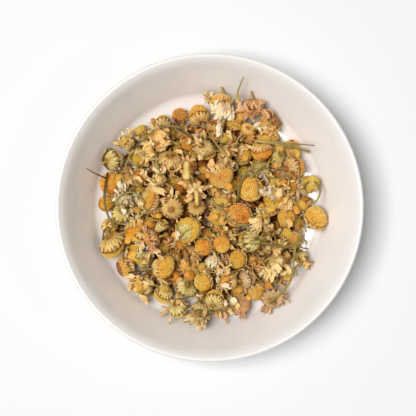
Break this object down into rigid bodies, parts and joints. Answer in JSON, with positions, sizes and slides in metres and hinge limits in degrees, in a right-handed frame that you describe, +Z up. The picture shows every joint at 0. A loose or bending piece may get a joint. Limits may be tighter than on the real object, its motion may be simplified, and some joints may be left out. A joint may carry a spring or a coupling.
{
  "type": "bowl of dried chamomile flowers",
  "caption": "Round glazed ceramic bowl with a rolled lip and a low foot ring, heaped with dried chamomile flower heads and loose stalks.",
  "frame": {"origin": "middle of the bowl's foot, on the surface that it stands on", "axes": "+Z up out of the bowl's mouth; +X level, towards the looped stalk at the edge of the heap; +Y level, a quarter turn on from +X"},
  "size_m": [0.13, 0.13, 0.0313],
  "materials": {
    "bowl_glaze": "glossy warm white glaze",
    "golden_flower_heads": "dry, matt, finely grained golden florets with cream petals",
    "green_flower_heads": "dry, matt, ribbed olive green cups and bracts",
    "tan_flower_heads": "dry, matt, shrivelled tan and brown heads",
    "cream_flower_heads": "dry, matt, papery cream and white petals",
    "dry_stalks": "dry, matt olive and straw stalks"
  },
  "bodies": {
    "root": {"bowl": "bowl_glaze", "cream_heads_01": "cream_flower_heads", "cream_heads_02": "cream_flower_heads", "cream_heads_03": "cream_flower_heads", "golden_heads_01": "golden_flower_heads", "golden_heads_02": "golden_flower_heads", "golden_heads_03": "golden_flower_heads", "golden_heads_04": "golden_flower_heads", "golden_heads_05": "golden_flower_heads", "golden_heads_06": "golden_flower_heads", "golden_heads_07": "golden_flower_heads", "golden_heads_08": "golden_flower_heads", "golden_heads_09": "golden_flower_heads", "golden_heads_10": "golden_flower_heads", "golden_heads_11": "golden_flower_heads", "golden_heads_12": "golden_flower_heads", "golden_heads_13": "golden_flower_heads", "green_heads_01": "green_flower_heads", "green_heads_02": "green_flower_heads", "green_heads_03": "green_flower_heads", "green_heads_04": "green_flower_heads", "green_heads_05": "green_flower_heads", "green_heads_06": "green_flower_heads", "green_heads_07": "green_flower_heads", "green_heads_08": "green_flower_heads", "tan_heads_01": "tan_flower_heads", "tan_heads_02": "tan_flower_heads", "tan_heads_03": "tan_flower_heads", "tan_heads_04": "tan_flower_heads", "tan_heads_05": "tan_flower_heads", "tan_heads_06": "tan_flower_heads", "tan_heads_07": "tan_flower_heads", "tan_heads_08": "tan_flower_heads", "tan_heads_09": "tan_flower_heads", "tan_heads_10": "tan_flower_heads", "tan_heads_11": "tan_flower_heads", "tan_heads_12": "tan_flower_heads", "stalk_back": "dry_stalks", "stalk_back_left": "dry_stalks", "stalk_back_straw": "dry_stalks", "stalk_centre_arc": "dry_stalks", "stalk_front": "dry_stalks", "stalk_left_curl": "dry_stalks", "stalk_left_edge": "dry_stalks", "stalk_middle": "dry_stalks", "stalk_right_cross": "dry_stalks", "stalk_right_front": "dry_stalks", "stalk_right_long": "dry_stalks", "stalk_right_loop": "dry_stalks"}
  },
  "joints": []
}
